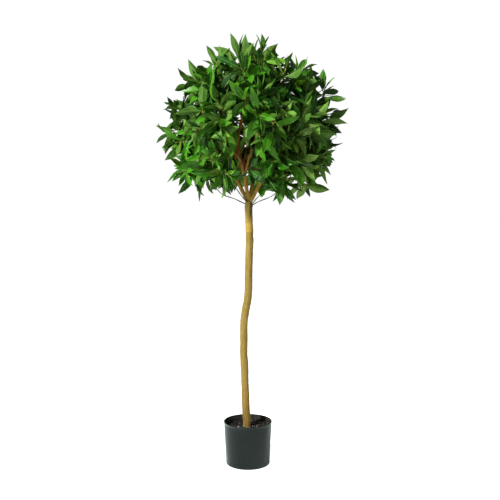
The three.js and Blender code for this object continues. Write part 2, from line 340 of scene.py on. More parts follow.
def circle(count):
    return np.arange(count) * 2 * math.pi / count


def lengthOf(vectors):
    return np.linalg.norm(vectors, axis=-1)


def unit(vector):
    vector = np.asarray(vector, dtype=float)
    return vector / max(float(np.linalg.norm(vector)), 1e-9)


def squareTo(along):
    helper = np.array([0.0, 0.0, 1.0]) if abs(along[2]) < 0.9 else np.array([1.0, 0.0, 0.0])
    return unit(np.cross(helper, along))


def bezier(start, startHandle, endHandle, end, count):
    t = np.linspace(0, 1, count)[:, None]
    points = [np.asarray(p, dtype=float) for p in (start, startHandle, endHandle, end)]
    return ((1 - t) ** 3 * points[0] + 3 * t * (1 - t) ** 2 * points[1]
            + 3 * t * t * (1 - t) * points[2] + t ** 3 * points[3])


def evenPath(points, step):
    # the same line with points a step apart, its corners rounded off
    points = np.asarray(points, dtype=float)
    lengths = np.r_[0, np.cumsum(lengthOf(np.diff(points, axis=0)))]
    count = max(4, int(lengths[-1] / step) + 1)
    places = np.linspace(0, lengths[-1], count)
    line = np.stack([np.interp(places, lengths, points[:, k]) for k in range(3)], axis=1)
    rounds = 2 * len(line) // len(points)
    for _ in range(max(2, rounds)):
        line[1:-1] = (line[:-2] + 2 * line[1:-1] + line[2:]) / 4
    return line


def ringsAlong(path, radii, sides):
    # rings of points round a path, each turned as little as can be from the last
    tangents = np.gradient(path, axis=0)
    tangents /= lengthOf(tangents)[:, None]
    angles = circle(sides)[:, None]
    radii = np.broadcast_to(np.asarray(radii, dtype=float).reshape(len(path), -1), (len(path), sides))
    side = squareTo(tangents[0])
    rings = np.empty((len(path), sides, 3))
    for i, tangent in enumerate(tangents):
        side = unit(side - tangent * (side @ tangent))
        around = np.cos(angles) * side + np.sin(angles) * np.cross(tangent, side)
        rings[i] = path[i] + radii[i][:, None] * around
    return rings


def tubeFaces(ringCount, sides):
    ring, side = (grid.ravel() for grid in np.mgrid[:ringCount - 1, :sides])
    nextSide = (side + 1) % sides
    quads = np.stack([ring * sides + side, ring * sides + nextSide,
                      (ring + 1) * sides + nextSide, (ring + 1) * sides + side], axis=1)
    each = np.arange(sides)
    after = (each + 1) % sides
    last = (ringCount - 1) * sides
    centre = np.full(sides, ringCount * sides)
    tris = np.concatenate([np.stack([centre, after, each], axis=1),
                           np.stack([centre + 1, last + each, last + after], axis=1)])
    return quads, tris


def plainShape(points, quads, tris, slot=0):
    return {
        "points": points,
        "quads": quads,
        "tris": tris,
        "quadSlots": np.full(len(quads), slot),
        "triSlots": np.full(len(tris), slot),
        "quadPlaces": np.zeros((len(quads), 4, 2)),
        "triPlaces": np.zeros((len(tris), 3, 2)),
        "rim": np.zeros(len(points), dtype=bool),
    }


def tubeShape(rings, slot=0):
    ends = [rings[0].mean(axis=0), rings[-1].mean(axis=0)]
    return plainShape(np.concatenate([rings.reshape(-1, 3), ends]), *tubeFaces(*rings.shape[:2]), slot)


def joinShapes(shapes):
    offsets = np.cumsum([0] + [len(s["points"]) for s in shapes[:-1]])
    joined = {key: np.concatenate([s[key] for s in shapes]) for key in shapes[0]}
    for key in ("quads", "tris"):
        joined[key] = np.concatenate([s[key] + by for s, by in zip(shapes, offsets)])
    return joined


def turnedShape(profile, segments):
    # a closed outline of radius and height turned round the upright axis
    profile = np.asarray(profile, dtype=float)
    angles, count = -circle(segments), len(profile)
    points = np.stack([np.outer(np.cos(angles), profile[:, 0]), np.outer(np.sin(angles), profile[:, 0]),
                       np.broadcast_to(profile[:, 1], (segments, count))], axis=-1)
    turn, spot = (grid.ravel() for grid in np.mgrid[:segments, :count])
    nextTurn, nextSpot = (turn + 1) % segments, (spot + 1) % count
    quads = np.stack([turn * count + spot, nextTurn * count + spot,
                      nextTurn * count + nextSpot, turn * count + nextSpot], axis=1)
    return plainShape(points.reshape(-1, 3), quads, np.zeros((0, 3), dtype=int))


def buildPiece(name, shape, materials, replaced, leafMap=False):
    mesh = bpy.data.meshes.new(name)
    quads, tris = shape["quads"], shape["tris"]
    corners = np.concatenate([quads.ravel(), tris.ravel()]).astype(np.int32)
    starts = np.r_[np.arange(len(quads)) * 4, len(quads) * 4 + np.arange(len(tris)) * 3].astype(np.int32)
    mesh.vertices.add(len(shape["points"]))
    mesh.vertices.foreach_set("co", shape["points"].astype(np.float32).ravel())
    mesh.loops.add(len(corners))
    mesh.loops.foreach_set("vertex_index", corners)
    mesh.polygons.add(len(starts))
    mesh.polygons.foreach_set("loop_start", starts)
    slots = np.concatenate([shape["quadSlots"], shape["triSlots"]]).astype(np.int32)
    mesh.polygons.foreach_set("material_index", slots)
    mesh.update(calc_edges=True)
    for material in materials:
        mesh.materials.append(material)
    if leafMap:
        addLeafMaps(mesh, shape, len(materials))
    mesh.shade_smooth()
    if shape["rim"].any():      # the two sides of a leaf meet in a crisp edge
        ends = np.empty(len(mesh.edges) * 2, dtype=np.int32)
        mesh.edges.foreach_get("vertices", ends)
        sharp = mesh.attributes.new("sharp_edge", "BOOLEAN", "EDGE")
        sharp.data.foreach_set("value", shape["rim"][ends.reshape(-1, 2)].all(axis=1))
    mesh.validate()
    piece = addObject(name, mesh)
    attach(piece, "root")
    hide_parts(*replaced)


def addLeafMaps(mesh, shape, tileCount):
    # "leaf" runs from base to tip and side to side, "OFBake" gives each material a tile of its own
    places = np.concatenate([shape["quadPlaces"].reshape(-1, 2), shape["triPlaces"].reshape(-1, 2)])
    slots = np.concatenate([np.repeat(shape["quadSlots"], 4), np.repeat(shape["triSlots"], 3)])
    wide = math.ceil(math.sqrt(tileCount))
    tiles = np.stack([slots % wide, slots // wide], axis=1)
    margin = 0.04
    tiled = (tiles + margin + (1 - 2 * margin) * places) / wide
    for label, values in (("leaf", places), ("OFBake", tiled)):
        layer = mesh.uv_layers.new(name=label)
        layer.uv.foreach_set("vector", values.astype(np.float32).ravel())


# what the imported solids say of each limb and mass

reading = {
    "stemCuts": 90,       # how many slices are read from the stem and from each limb
    "limbCuts": 12,
    "endGap": 0.001,      # metres between an end and its outermost slice
    "footReach": 0.05,    # how far back from its first slice a limb is followed to its parent
}


def solidOf(name):
    # its points, and the three corners of each of its faces
    mesh = nodes[name].data
    mesh.calc_loop_triangles()
    points = np.empty(len(mesh.vertices) * 3)
    mesh.vertices.foreach_get("co", points)
    corners = np.empty(len(mesh.loop_triangles) * 3, dtype=np.int32)
    mesh.loop_triangles.foreach_get("vertices", corners)
    return points.reshape(-1, 3), corners.reshape(-1, 3)


def searchTree(points, corners):
    return BVHTree.FromPolygons(points.tolist(), corners.tolist())


def slices(points, corners, axis, places):
    # the middle and the radius of a solid where planes square to the axis cut it
    along = points @ axis
    starts, ends = corners, corners[:, [1, 2, 0]]
    middles, radii = [], []
    for place in places:
        before, after = along[starts] - place, along[ends] - place
        cut = before * after < 0
        share = (before[cut] / (before[cut] - after[cut]))[:, None]
        hits = points[starts[cut]] * (1 - share) + points[ends[cut]] * share
        middles.append(hits.mean(axis=0))
        radii.append(lengthOf(hits - hits.mean(axis=0)).mean())
    return np.array(middles), np.array(radii)


def readStem():
    points, corners = solidOf("trunk")
    low, high = points[:, 2].min(), points[:, 2].max()
    places = np.linspace(low + reading["endGap"], high - reading["endGap"], reading["stemCuts"])
    middles, radii = slices(points, corners, np.array([0, 0, 1.0]), places)
    middles[0, 2], middles[-1, 2] = low, high
    return middles, radii


def nearestOn(line, point):
    return line[np.argmin(lengthOf(line - point))]


def readLimb(name, parents):
    points, corners = solidOf(name)
    middle = points.mean(axis=0)
    axis = np.linalg.svd(points - middle, full_matrices=False)[2][0]
    axis = axis if axis @ (middle - parents[0][-1]) > 0 else -axis
    along = points @ axis
    places = np.linspace(along.min(), along.max(), reading["limbCuts"])[1:-1]
    middles, radii = slices(points, corners, axis, places)
    tip = points[along > along.max() - reading["endGap"]].mean(axis=0)
    back = unit(middles[0] - middles[1])
    reach = [middles[0] + back * s for s in np.linspace(0, reading["footReach"], 26)]
    gaps = [min(lengthOf(line - spot).min() for line in parents) for spot in reach]
    spot = reach[int(np.argmin(gaps))]
    foot = min((nearestOn(line, spot) for line in parents), key=lambda p: np.linalg.norm(p - spot))
    path = np.concatenate([[foot], middles, [tip]])
    return {"name": name, "path": path, "radii": np.r_[radii[0], radii, radii[-1]]}


def namesFrom(start):
    return sorted(name for name in nodes if name.startswith(start))


stemLine, stemRadii = readStem()
boughNames, limbNames = namesFrom("bough_"), namesFrom("limb_")
thinNames, massNames = namesFrom("stem_low_"), namesFrom("foliage_")
boughs = [readLimb(n, [stemLine]) for n in boughNames]
limbs = [readLimb(n, [b["path"] for b in boughs]) for n in limbNames]
thinStems = [readLimb(n, [stemLine]) for n in thinNames]
print("limbs read:", len(boughs), "boughs,", len(limbs), "limbs,", len(thinStems), "thin stems")


# relief that the stem and the limbs share

def barkPlaces(angles, lengths):
    # a place in the relief for each point of a tube
    return np.stack(np.broadcast_arrays(np.cos(angles), np.sin(angles), lengths[:, None]), axis=-1)


def ridgeNoise(points, seed):
    return 1 - 2 * np.abs(softNoise(points, seed))


# the stem

stemLook = {
    "sides": 72,
    "ringStep": 0.0022,
    "lumps": 0.0009,          # heights of the relief in metres
    "ridges": 0.0005,
    "pits": 0.00035,
    "evened": 15,             # rings that the stem's radius is averaged over, an odd number
    "knots": 14,
    "knotSize": (0.0065, 0.0095, 0.0021),     # across, along and outward
    "knotSpread": (0.6, 1.2),                 # smallest and largest of them, as shares of that size
    "knotTurn": 0.012,        # the radius of the stem that knots are measured round
    "wrap": (0.822, 0.852),   # the smooth paler wrap under the fork
    "wrapThickness": 0.0004,
    "wrapCover": 0.75,        # how much of the relief the wrap hides
    "forkFrom": 0.905,        # above this the stem swells into its boughs
    "forkSwell": 0.0012,
    "rounding": 0.036,        # length over which the top rounds off between the boughs
    "seed": 5,
    "sunTan": (0.258, 0.180, 0.049),
    "khaki": (0.216, 0.148, 0.028),
    "overColors": {           # laid over those two in this order: a colour and its largest share
        "olive": ((0.19, 0.140, 0.028), 0.36),
        "blotch": ((0.200, 0.136, 0.028), 0.55),
        # painted light: a paler tan close under the fork, where the crown shades the stem
        "forkPaintedLight": ((0.42, 0.290, 0.066), 0.7),
        "footBrown": ((0.160, 0.074, 0.016), 0.75),
        "wrap": ((0.37, 0.235, 0.040), 0.6),
        # a dark patch on the right side of the stem, just under the fork
        "rightDarkPatch": ((0.035, 0.040, 0.012), 0.85),
        "mark": ((0.10, 0.062, 0.020), 0.55),
        "fineMark": ((0.10, 0.062, 0.020), 0.45),
    },
    "forkPaintedLightHeights": (0.82, 0.92),           # painted light: paler close under its fork, lifting the shadow that the crown casts there
    "overFoot": (0.34, 0.16),            # and browner towards its foot
    "rightDarkPatchPlace": (0.888, 0.926),
    "roughness": 0.74,
    "gloss": 0.12,
}


def makeStemBark():
    look = stemLook
    material, tree, shader = newMaterial("stem_bark", look["roughness"], look["gloss"])
    place = ownPlace(tree)
    bark = placeGroup(tree, barkGrain, place, Grain=150.0, Patch=16.0)
    mottle = placeGroup(tree, barkGrain, place, Grain=420.0, Patch=105.0, Mark=240.0)
    split = xyzOf(tree, place)
    height = split["Z"]
    low, high = look["wrap"]
    wrap = times(tree, softStep(tree, height, low - 0.001, low + 0.001),
                 softStep(tree, height, high + 0.001, high - 0.001))
    # the dark patch: a ragged band on the stem's right side under the fork
    low, high = look["rightDarkPatchPlace"]
    ragged = mathNode(tree, "ADD", height, times(tree, bark["Streaks"], 0.016))
    side = mathNode(tree, "ADD", split["X"], times(tree, bark["Streaks"], 0.004))
    rightDarkPatch = times(tree, softStep(tree, ragged, low - 0.010, low + 0.014),
                  softStep(tree, ragged, high + 0.020, high - 0.004))
    masks = {
        "olive": mathNode(tree, "SUBTRACT", 1.0, bark["Streaks"]),
        "blotch": mottle["Patches"],
        # painted light under the fork
        "forkPaintedLight": softStep(tree, height, *look["forkPaintedLightHeights"]),
        "footBrown": times(tree, softStep(tree, height, *look["overFoot"]), mottle["Streaks"]),
        "wrap": wrap,
        "rightDarkPatch": times(tree, rightDarkPatch, softStep(tree, side, 0.007, 0.012)),
        "mark": bark["Marks"],
        "fineMark": mottle["Marks"],
    }
    tone = mixColor(tree, bark["Patches"], look["khaki"], look["sunTan"])
    for name, (color, share) in look["overColors"].items():
        tone = mixColor(tree, times(tree, masks[name], share), tone, color)
    coat(tree, shader, tone, bark["Height"], strength=0.6, distance=0.0012)
    return material


def makeStem():
    look = stemLook
    rng = np.random.default_rng(look["seed"])
    path = evenPath(stemLine, look["ringStep"])
    radii = np.interp(path[:, 2], stemLine[:, 2], stemRadii)
    evened = look["evened"]
    radii = np.convolve(np.pad(radii, evened // 2, mode="edge"), np.ones(evened) / evened, mode="valid")
    angles = circle(look["sides"])
    heights = path[:, 2][:, None]
    around = barkPlaces(angles, path[:, 2])
    lumps = softNoise(around * (0.9, 0.9, 22), 1) + 0.5 * softNoise(around * (1.6, 1.6, 55), 2)
    ridges = ridgeNoise(around * (3.4, 3.4, 26), 3)
    pits = softNoise(around * (9, 9, 190), 4)
    relief = look["lumps"] * lumps + look["ridges"] * ridges + look["pits"] * pits
    low, high = path[0, 2], path[-1, 2]
    knotWidth, knotLength, knotHeight = look["knotSize"]
    for k in range(look["knots"]):
        spot = low + (high - low) * (k + rng.uniform(0.2, 0.8)) / look["knots"]
        turn = rng.uniform(0, 2 * math.pi)
        size = rng.uniform(*look["knotSpread"])
        bend = np.angle(np.exp(1j * (angles - turn))) * look["knotTurn"]
        reach = (bend / knotWidth) ** 2 + ((heights - spot) / knotLength) ** 2
        relief += knotHeight * size * (np.exp(-reach / size) - 0.75 * np.exp(-6 * reach / size))
    wrapLow, wrapHigh = look["wrap"]
    inWrap = ((heights > wrapLow) & (heights < wrapHigh)).astype(float)
    relief = relief * (1 - look["wrapCover"] * inWrap) + look["wrapThickness"] * inWrap
    rise = np.clip((heights - look["forkFrom"]) / (high - look["forkFrom"]), 0, 1)
    relief += look["forkSwell"] * np.sin(math.pi * rise ** 0.8) * (1 + 0.5 * np.cos(3 * angles + 0.6))
    nearTop = np.clip(1 - (high - heights) / look["rounding"], 0, 0.97)
    dome = np.sqrt(1 - nearTop ** 2)
    rings = ringsAlong(path, (radii[:, None] + relief) * dome, look["sides"])
    rings[0, :, 2] = low       # the flat cut at the foot
    buildPiece("stem", tubeShape(rings), [makeStemBark()], ["trunk"])


makeStem()
print("stem made")


# boughs and limbs

boughLook = {
    "sides": 26,
    "ringStep": 0.003,
    "lumps": 0.0007,
    "ridges": 0.0004,
    "stump": (0.40, 0.265, 0.056),       # painted light: the stem's paler tan under the fork, carried up into the boughs
    "stumpHeights": (0.945, 0.985),
    "foot": (0.50, 0.300, 0.045),
    "footHeights": (0.96, 1.08),
    "light": (0.50, 0.225, 0.034),
    "dark": (0.20, 0.095, 0.018),
    "mark": (0.05, 0.025, 0.010),
    "grain": 220.0,
    "patchShare": 0.4,
    "markShare": 0.6,
    "roughness": 0.7,
}

thinLook = {
    "sides": 10,
    "ringStep": 0.004,
    "radius": 0.0013,
    "apart": 0.0015,
    "light": (0.060, 0.058, 0.022),
    "dark": (0.018, 0.017, 0.010),
    "mark": (0.012, 0.010, 0.007),
    "grain": 300.0,
    "patchShare": 0.4,
    "markShare": 0.6,
    "roughness": 0.6,
}

greenStemLook = {
    **thinLook,
    "light": (0.075, 0.150, 0.024),
    "dark": (0.030, 0.062, 0.010),
}


def makeLimbBark(name, look):
    material, tree, shader = newMaterial(name, look["roughness"], 0.15)
    place = ownPlace(tree)
    bark = placeGroup(tree, barkGrain, place, Grain=look["grain"])
    light, dark = look["light"], look["dark"]
    if "stump" in look:       # the boughs are paler where they leave the stem, carrying on the painted light under the fork
        height = xyzOf(tree, place)["Z"]
        rise = softStep(tree, height, *look["stumpHeights"])
        light = mixColor(tree, softStep(tree, height, *look["footHeights"]), look["foot"], light)
        light = mixColor(tree, rise, look["stump"], light)
        dark = mixColor(tree, rise, shaded(look["stump"], 0.6), dark)
    tone = mixColor(tree, bark["Streaks"], dark, light)
    tone = mixColor(tree, times(tree, bark["Patches"], look["patchShare"]), tone, dark)
    tone = mixColor(tree, times(tree, bark["Marks"], look["markShare"]), tone, look["mark"])
    coat(tree, shader, tone, bark["Height"], strength=0.6, distance=0.0008)
    return material


def limbShape(limb, look, seed, offset=None, slot=0):
    path = evenPath(limb["path"], look["ringStep"])
    share = np.linspace(0, 1, len(path))
    if "radius" in look:
        radii = look["radius"] * (1.1 - 0.35 * share)
    else:
        radii = np.interp(share, np.linspace(0, 1, len(limb["radii"])), limb["radii"])
    radii = radii * np.clip(0.55 + share * 12, 0, 1)     # the foot narrows inside its parent
    radii[-1] *= 0.6
    around = barkPlaces(circle(look["sides"]), share * lengthOf(np.diff(path, axis=0)).sum())
    relief = look.get("lumps", 0) * softNoise(around * (0.9, 0.9, 45), seed)
    relief = relief + look.get("ridges", 0) * ridgeNoise(around * (2.6, 2.6, 40), seed + 0.5)
    if offset is not None:      # twisted round its fellow
        tangent = np.gradient(path, axis=0).mean(axis=0)
        side = unit(np.cross(tangent, (0, 0, 1)))
        turn = 9 * share[:, None] + seed
        path = path + offset * (np.cos(turn) * side + np.sin(turn) * unit(np.cross(side, tangent)))
    return tubeShape(ringsAlong(path, radii[:, None] + relief, look["sides"]), slot)


def makeBoughs():
    shapes = [limbShape(limb, boughLook, i + 1) for i, limb in enumerate(boughs + limbs)]
    buildPiece("boughs", joinShapes(shapes), [makeLimbBark("bough_bark", boughLook)],
               boughNames + limbNames)
    pairs = []
    for i, limb in enumerate(thinStems):
        green = int(limb["path"][-1][0] > 0)     # those that end right of the middle
        for way in (-1, 1):
            pairs.append(limbShape(limb, thinLook, i + 30 + 2 * way, way * thinLook["apart"], green))
    barks = [makeLimbBark("wire_stem_bark", thinLook), makeLimbBark("green_stem_bark", greenStemLook)]
    buildPiece("thin_stems", joinShapes(pairs), barks, thinNames)


makeBoughs()
print("boughs made")


# the leaves

leafLook = {
    "fronts": [                  # upper sides: deep, mid, bright, vivid, bluish, olive and young; the deep one is also painted shade for every spray inside the crown
        (0.007, 0.043, 0.002),
        (0.016, 0.091, 0.002),
        (0.042, 0.180, 0.005),
        (0.038, 0.192, 0.005),
        (0.012, 0.068, 0.007),
        (0.062, 0.134, 0.007),
        (0.112, 0.285, 0.016),
    ],
    "shares": [0.22, 0.28, 0.18, 0.09, 0.10, 0.07, 0.06],
    "backs": [
        (0.054, 0.140, 0.014),
        (0.075, 0.180, 0.021),
        (0.116, 0.238, 0.034),
    ],
    "rib": (0.110, 0.220, 0.032),
    "stalk": (0.210, 0.230, 0.022),
    "frontRoughness": 0.35,
    "backRoughness": 0.60,
    "ribRoughness": 0.50,
    "stalkRoughness": 0.55,
    "gloss": 0.16,
    "blotchShade": 0.74,
    "veinShare": 0.40,
    "veinDepth": 0.50,
}

leafForm = {                     # lengths are shares of the blade's length
    "variants": 28,
    "rows": (0.035, 0.11, 0.23, 0.37, 0.52, 0.67, 0.80, 0.91),
    "crease": 0.55,
    "slimness": (0.29, 0.40),
    "belly": (0.86, 1.02),
    "stalk": 0.09,
    "stalkRadius": 0.011,
    "rib": 0.012,
    "thickness": 0.007,
    "groove": 0.006,
    "keel": 0.014,
    "fold": (8, 32),             # degrees
    "arch": (-16, 42),
    "turn": (-10, 10),
    "twist": (-18, 18),
    "roll": (-0.04, 0.14),
    "wave": 0.020,
    "beats": (1.0, 1.9),         # waves along a margin
    "tipDraw": 0.18,             # how far the tip is drawn out to a point
    "seed": 21,
}

frontPart, backPart, ribPart, stalkPart = range(4)
ribSlot = len(leafLook["fronts"]) + len(leafLook["backs"])
stalkSlot = ribSlot + 1


def makeLeafSide(name, color, roughness):
    look = leafLook
    material, tree, shader = newMaterial(name, roughness, look["gloss"])
    place = addNode(tree, "ShaderNodeUVMap", uv_map="leaf").outputs[0]
    veins = placeGroup(tree, leafVeins, place)
    tone = mixColor(tree, veins["Blotch"], shaded(color, look["blotchShade"]), color)
    paler = tuple(c * 1.30 + 0.004 for c in color)
    tone = mixColor(tree, times(tree, veins["Veins"], look["veinShare"]), tone, paler)
    coat(tree, shader, tone, veins["Height"], strength=look["veinDepth"], distance=0.0006)
    return material


def makeStalk(name, color, roughness):
    material, tree, shader = newMaterial(name, roughness, 0.25)
    grain = placeGroup(tree, speckle, ownPlace(tree), Fine=700.0)
    coat(tree, shader, color, grain["Grain"], strength=0.25, distance=0.0005)
    return material


def makeLeafMaterials():
    look = leafLook
    return [makeLeafSide(f"leaf_{side}_{i}", color, look[f"{side}Roughness"])
            for side in ("front", "back") for i, color in enumerate(look[f"{side}s"])
            ] + [makeStalk(f"leaf_{part}", look[part], look[f"{part}Roughness"]) for part in ("rib", "stalk")]


def leafOutline(rng):
    # rings of ten points from the stalk's foot to the tip: five over the top, five under the back
    form = leafForm
    rows = np.array(form["rows"])
    width = rng.uniform(*form["slimness"]) / 2
    half = width * np.sin(math.pi * rows ** rng.uniform(*form["belly"]))
    half *= 1 - form["tipDraw"] * np.clip((rows - 0.70) / 0.30, 0, 1)
    crease, rib = form["crease"], form["rib"] * (1 - 0.75 * rows)
    share = np.array([1, crease, 0, 0, -crease, -1, -crease, 0, 0, crease])
    ribSide = np.array([0, 0, 1, -1, 0, 0, 0, -1, 1, 0])
    across = half[:, None] * share + rib[:, None] * ribSide
    top = np.array([0, 1, 1, 1, 1, 0, -1, -1, -1, -1])
    out = np.abs(across) / half[:, None]
    fold = math.tan(math.radians(rng.uniform(*form["fold"])))
    rise = fold * np.abs(across) - rng.uniform(*form["roll"]) * half[:, None] * out ** 3
    phase = rng.uniform(0, 2 * math.pi, 2)[np.where(share >= 0, 0, 1)]
    beat = rng.uniform(*form["beats"])
    wave = np.sin(2 * math.pi * beat * rows[:, None] + phase)
    rise += form["wave"] * wave * out ** 2 * half[:, None] / width
    rise += form["thickness"] / 2 * top
    onRib = np.abs(ribSide) > 0
    rise -= np.where(onRib & (top > 0), form["groove"], 0)
    rise -= np.where(onRib & (top < 0), form["keel"], 0) * (1 - 0.6 * rows[:, None])
    # the blade twists about its midrib and bends along an arching, turning line
    twist = math.radians(rng.uniform(*form["twist"])) * rows[:, None]
    side = across * np.cos(twist) - rise * np.sin(twist)
    rise = across * np.sin(twist) + rise * np.cos(twist)
    arch, turn = math.radians(rng.uniform(*form["arch"])), math.radians(rng.uniform(*form["turn"]))
    fine = np.linspace(0, 1, 60)
    dip, yaw = -arch * fine ** 1.3, turn * fine
    steps = np.stack([np.cos(dip) * np.cos(yaw), np.cos(dip) * np.sin(yaw), np.sin(dip)], axis=1) / 59
    line = np.concatenate([np.zeros((1, 3)), np.cumsum(steps[:-1], axis=0)]) + (form["stalk"], 0, 0)
    middles = np.stack([np.interp(rows, fine, line[:, k]) for k in range(3)], axis=1)
    dips = np.interp(rows, fine, dip)[:, None]
    yaws = np.interp(rows, fine, yaw)[:, None]
    blade = np.stack([middles[:, :1] - rise * np.sin(dips) - side * np.sin(yaws),
                      middles[:, 1:2] + side * np.cos(yaws),
                      middles[:, 2:3] + rise * np.cos(dips)], axis=-1)
    angles = circle(len(share))
    stalk = [np.stack([np.full(len(share), x), form["stalkRadius"] * w * np.cos(angles),
                       form["stalkRadius"] * np.sin(angles)], axis=1)
             for x, w in ((0.0, 1.3), (form["stalk"] - 0.01, 1.0))]
    return np.concatenate([np.array(stalk), blade]), line[-1], across / width


def leafFaces(across):
    # which part each face belongs to and where its corners lie on the leaf, the same for every variant
    ringCount, sides = across.shape[0] + 2, 10
    quads, tris = tubeFaces(ringCount, sides)
    around = np.array([frontPart, frontPart, ribPart, frontPart, frontPart,
                       backPart, backPart, ribPart, backPart, backPart])
    quadParts = np.tile(around, ringCount - 1)
    quadParts[:sides] = stalkPart
    triParts = np.concatenate([np.full(sides, stalkPart), around])
    place = np.zeros((ringCount * sides + 2, 2))
    place[:, 1] = 0.5
    rows = np.r_[0.0, 0.02, leafForm["rows"]]
    place[:-2, 0] = np.repeat(rows, sides)
    place[2 * sides:-2, 1] = 0.5 + 0.5 * across.ravel()
    place[:2 * sides, 1] = np.tile(np.arange(sides) / sides, 2)
    place[-1] = (1.0, 0.5)
    rim = np.zeros(len(place), dtype=bool)
    margins = np.arange(2, ringCount)[:, None] * sides + np.array([0, 5])
    rim[margins.ravel()] = True
    rim[-1] = True
    return quads, tris, quadParts, triParts, place, rim


def makeLeafForms():
    rng = np.random.default_rng(leafForm["seed"])
    outlines = [leafOutline(rng) for _ in range(leafForm["variants"])]
    forms = [np.concatenate([rings.reshape(-1, 3), [(0, 0, 0), tip]]) for rings, tip, _ in outlines]
    return np.array(forms), leafFaces(outlines[0][2])


leafForms, leafTopology = makeLeafForms()


def leavesShape(leaves):
    # each leaf is (foot, along, up, length, variant, front tint, back tint)
    quads, tris, quadParts, triParts, place, rim = leafTopology
    feet, along, up, lengths, variants, fronts, backs = (np.array(values) for values in zip(*leaves))
    count = len(leaves)
    frames = np.stack([along, np.cross(up, along), up], axis=1)
    points = np.einsum("lpk,lkc->lpc", leafForms[variants] * lengths[:, None, None], frames)
    points += feet[:, None, :]
    shift = (np.arange(count) * leafForms.shape[1])[:, None, None]
    # a column for each part of a leaf, in the order of the parts
    slots = np.stack([fronts, len(leafLook["fronts"]) + backs, np.full(count, ribSlot),
                      np.full(count, stalkSlot)], axis=1)
    return {
        "points": points.reshape(-1, 3),
        "quads": (quads + shift).reshape(-1, 4),
        "tris": (tris + shift).reshape(-1, 3),
        "quadSlots": slots[:, quadParts].ravel(),
        "triSlots": slots[:, triParts].ravel(),
        "quadPlaces": np.tile(place[quads], (count, 1, 1)),
        "triPlaces": np.tile(place[tris], (count, 1, 1)),
        "rim": np.tile(rim, count),
    }


# the crown: sprays of leaves at the ends of twigs that fork on from each limb

massSolids = [solidOf(name) for name in massNames]
massTrees = [searchTree(points, corners) for points, corners in massSolids]

sprayLook = {
    "seed": 8,
    "samples": 26000,
    "seamGap": 0.010,            # nearer another mass than this is inside the crown
    "spacing": 0.080,            # between the outer sprays
    "shuffle": 0.016,            # how loosely sprays keep to the solids' furthest points
    "inset": (0.030, 0.072),     # how far a spray's foot lies below the crown's outline
    "innerSpacing": 0.120,
    "innerInset": (0.105, 0.150),
    "leaves": (6, 9),
    "length": (0.052, 0.090),    # youngest and oldest leaf
    "lean": (14, 74),            # degrees from the twig, youngest and oldest
    "leanStray": 14,
    "lengthSpread": (0.78, 1.18),
    "turnStray": 0.38,           # radians, as is the roll of leaves about their own midribs
    "roll": 0.8,
    "span": 0.040,               # the length of twig that a spray's leaves are spaced along
    "lower": (2, 3),             # leaves spaced down the twig below the spray
    "lowerReach": (0.016, 0.085),
    "lowerLean": (55, 95),
    "lowerSpread": (0.8, 1.12),
    "lowerRoll": 0.5,
    "droop": 0.22,
    "upward": 0.16,
    "stray": 0.46,
    "oddShare": 0.40,            # leaves with a tint of their own and not their spray's
    "youngShare": 0.30,
    "youngUntil": 0.35,          # age up to which leaves have the young tints
    "youngTints": (6, 3),        # the young and the vivid one, by place in the list of upper sides
    "lowerTint": 2,              # leaves lower on the twig have no tint after this one
    "underside": (-0.92, -0.66), # from bare to full, by how far outward points down
    "undersideShare": 0.22,
    "overhang": 0.020,           # how far a leaf may reach out of the masses at its full length
    "clearing": "bough_centre",          # this bough shows between the leaves at these heights
    "clearingHeights": (1.04, 1.205),
    "clearingWidth": 0.013,
}

twigLook = {
    "tipRadius": 0.00105,
    "growth": 0.42,
    "step": 0.011,
    "sides": 7,
    "forkShare": (0.38, 0.56),
    "wander": 0.05,              # how far forks stray, as a share of the twig's reach
    "woodFrom": 0.0017,
    "barks": {                   # colour and roughness, the first for the thin green ones
        "twig_green": ((0.085, 0.105, 0.020), 0.60),
        "twig_wood": ((0.105, 0.060, 0.020), 0.72),
        "twig_dark_wood": ((0.050, 0.030, 0.012), 0.75),
    },
    "seed": 3,
}


def openSamples():
    # points spread over the outsides of the masses, away from the seams between them
    rng = np.random.default_rng(sprayLook["seed"])
    crosses = [np.cross(p[c[:, 1]] - p[c[:, 0]], p[c[:, 2]] - p[c[:, 0]]) for p, c in massSolids]
    areas = [lengthOf(cross) / 2 for cross in crosses]
    total = sum(area.sum() for area in areas)
    spots, normals, owners = [], [], []
    for i, ((points, corners), cross, area) in enumerate(zip(massSolids, crosses, areas)):
        count = int(sprayLook["samples"] * area.sum() / total)
        faces = rng.choice(len(corners), count, p=area / area.sum())
        a, b = np.sort(rng.random((2, count)), axis=0)[:, :, None]
        first, second, third = points[corners[faces]].transpose(1, 0, 2)
        spot = first * a + second * (b - a) + third * (1 - b)
        others = massTrees[:i] + massTrees[i + 1:]
        apart = [all(tree.find_nearest(Vector(p), sprayLook["seamGap"])[0] is None for tree in others)
                 for p in spot]
        spots.append(spot[apart])
        normals.append((cross / lengthOf(cross)[:, None])[faces[apart]])
        owners.append(np.full(sum(apart), i))
    return np.concatenate(spots), np.concatenate(normals), np.concatenate(owners)


def spreadOut(rng, spots, reach, spacing):
    # picks spots, those that stand out furthest first, none nearer another than the spacing
    taken = []
    for k in np.argsort(rng.normal(0, sprayLook["shuffle"], len(spots)) - reach):
        if (lengthOf(spots[taken] - spots[k]) > spacing).all():
            taken.append(k)
    return taken


